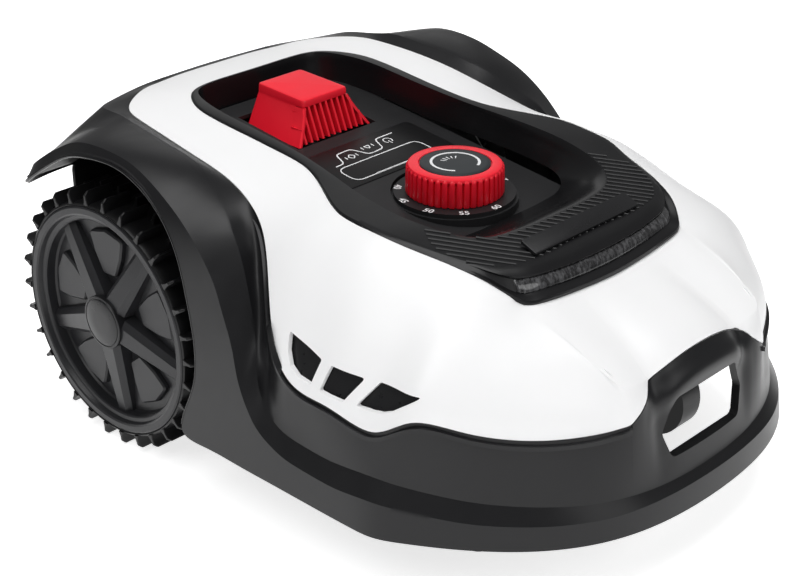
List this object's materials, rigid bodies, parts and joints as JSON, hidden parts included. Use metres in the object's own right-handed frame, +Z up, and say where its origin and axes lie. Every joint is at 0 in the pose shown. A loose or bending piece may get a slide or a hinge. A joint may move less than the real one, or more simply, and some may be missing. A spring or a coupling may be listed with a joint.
{
  "type": "robotic lawn mower",
  "caption": "Low domed robotic lawn mower with two large cleated drive wheels, front casters, a recessed control well with dial and stop button, and a pivoting-blade cutting disc.",
  "frame": {"origin": "on the ground under the middle of the machine's length and width", "axes": "+X to the mower's front, +Y to its left, +Z up"},
  "size_m": [0.512, 0.404, 0.237],
  "materials": {
    "white_shell": "satin-gloss moulded white",
    "black_shell": "satin charcoal, fine grain",
    "clear_lens": "smoked clear, ribbed inside",
    "chassis_plastic": "fine textured black",
    "keypad_film": "glossy printed film",
    "circuit_board": "solder mask",
    "red_plastic": "satin moulded red",
    "dial_label": "printed dark grey disc",
    "rubber": "matt",
    "tyre": "cleated rubber",
    "rim_plastic": "fine spark texture",
    "steel": "machined",
    "motor_metal": "dark coated",
    "bush_bronze": "sintered",
    "disc_plastic": "glass-filled, faint flow marks"
  },
  "bodies": {
    "chassis": {"chassis_tub": "chassis_plastic", "chassis_lid": "chassis_plastic", "lid_seal": "rubber", "control_tray": "chassis_plastic", "keypad": "keypad_film", "keypad_board": "circuit_board", "stop_switch": "chassis_plastic", "left_gear_motor": "motor_metal", "right_gear_motor": "motor_metal", "battery_pack": "chassis_plastic", "battery_door": "chassis_plastic", "main_board": "circuit_board", "board_spacers": "chassis_plastic", "dial_scale": "chassis_plastic", "caster_bushes": "bush_bronze", "float_mounts": "rubber", "lid_screws": "steel", "door_screws": "steel", "charging_contacts": "steel", "stop_spring": "steel"},
    "cover": {"top_cover": "white_shell", "body_shell": "black_shell", "control_ring": "black_shell", "light_lens": "clear_lens", "name_plate": "black_shell", "vent_inserts": "black_shell", "rear_strip": "black_shell", "cover_posts": "black_shell"},
    "left_wheel": {"left_tyre": "tyre", "left_rim": "rim_plastic", "left_hub_cap": "rim_plastic", "left_wheel_shaft": "steel"},
    "right_wheel": {"right_tyre": "tyre", "right_rim": "rim_plastic", "right_hub_cap": "rim_plastic", "right_wheel_shaft": "steel"},
    "left_fork": {"left_caster_fork": "rim_plastic", "left_caster_pin": "steel"},
    "right_fork": {"right_caster_fork": "rim_plastic", "right_caster_pin": "steel"},
    "left_roller": {"left_caster_wheel": "tyre"},
    "right_roller": {"right_caster_wheel": "tyre"},
    "carriage": {"deck_carriage": "chassis_plastic", "blade_motor": "motor_metal"},
    "cutter": {"blade_disc": "disc_plastic", "motor_shaft": "steel", "blade_screws": "steel"},
    "skid": {"skid_plate": "chassis_plastic"},
    "blade_one": {"blade_1": "steel"},
    "blade_two": {"blade_2": "steel"},
    "blade_three": {"blade_3": "steel"},
    "dial": {"dial_knob": "red_plastic", "dial_cap": "dial_label", "dial_spindle": "steel"},
    "stop": {"stop_button": "red_plastic", "stop_stem": "steel"}
  },
  "joints": [
    {"name": "cover_float", "type": "slide", "parent": "chassis", "child": "cover", "axis": [1, 0, 0], "range_m": [-0.0025, 0.0025], "stiffness_N_per_m": 12000},
    {"name": "left_wheel_spin", "type": "hinge", "parent": "chassis", "child": "left_wheel", "pos_m": [-0.151, 0.168, 0.1], "axis": [0, 1, 0], "continuous": true},
    {"name": "right_wheel_spin", "type": "hinge", "parent": "chassis", "child": "right_wheel", "pos_m": [-0.151, -0.168, 0.1], "axis": [0, 1, 0], "continuous": true},
    {"name": "left_caster_swivel", "type": "hinge", "parent": "chassis", "child": "left_fork", "pos_m": [0.149, 0.105, 0.09], "axis": [0, 0, 1], "continuous": true},
    {"name": "right_caster_swivel", "type": "hinge", "parent": "chassis", "child": "right_fork", "pos_m": [0.149, -0.105, 0.09], "axis": [0, 0, 1], "continuous": true},
    {"name": "left_caster_roll", "type": "hinge", "parent": "left_fork", "child": "left_roller", "pos_m": [0.133, 0.105, 0.03], "axis": [0, 1, 0], "continuous": true},
    {"name": "right_caster_roll", "type": "hinge", "parent": "right_fork", "child": "right_roller", "pos_m": [0.133, -0.105, 0.03], "axis": [0, 1, 0], "continuous": true},
    {"name": "deck_height", "type": "slide", "parent": "chassis", "child": "carriage", "axis": [0, 0, 1], "range_m": [0, 0.04]},
    {"name": "dial_turn", "type": "hinge", "parent": "chassis", "child": "dial", "pos_m": [0.0168, 0, 0.2], "axis": [0, 0, 1], "range_deg": [0, 300.5]},
    {"name": "cutter_spin", "type": "hinge", "parent": "carriage", "child": "cutter", "pos_m": [0.0168, 0, 0.0235], "axis": [0, 0, 1], "continuous": true},
    {"name": "skid_spin", "type": "hinge", "parent": "cutter", "child": "skid", "pos_m": [0.0168, 0, 0.0145], "axis": [0, 0, 1], "continuous": true},
    {"name": "stop_press", "type": "slide", "parent": "chassis", "child": "stop", "axis": [0, 0, -1], "range_m": [0, 0.005], "stiffness_N_per_m": 1500, "springref_m": -0.002, "deforming": ["stop_spring"]},
    {"name": "blade_one_pivot", "type": "hinge", "parent": "cutter", "child": "blade_one", "pos_m": [0.0828, 0, 0.0204], "axis": [0, 0, 1], "continuous": true},
    {"name": "blade_two_pivot", "type": "hinge", "parent": "cutter", "child": "blade_two", "pos_m": [-0.0162, 0.05716, 0.0204], "axis": [0, 0, 1], "continuous": true},
    {"name": "blade_three_pivot", "type": "hinge", "parent": "cutter", "child": "blade_three", "pos_m": [-0.0162, -0.05716, 0.0204], "axis": [0, 0, 1], "continuous": true}
  ],
  "couplings": [
    {"joint": "dial_turn", "follows": "deck_height", "rad_per_m": 130.9}
  ]
}
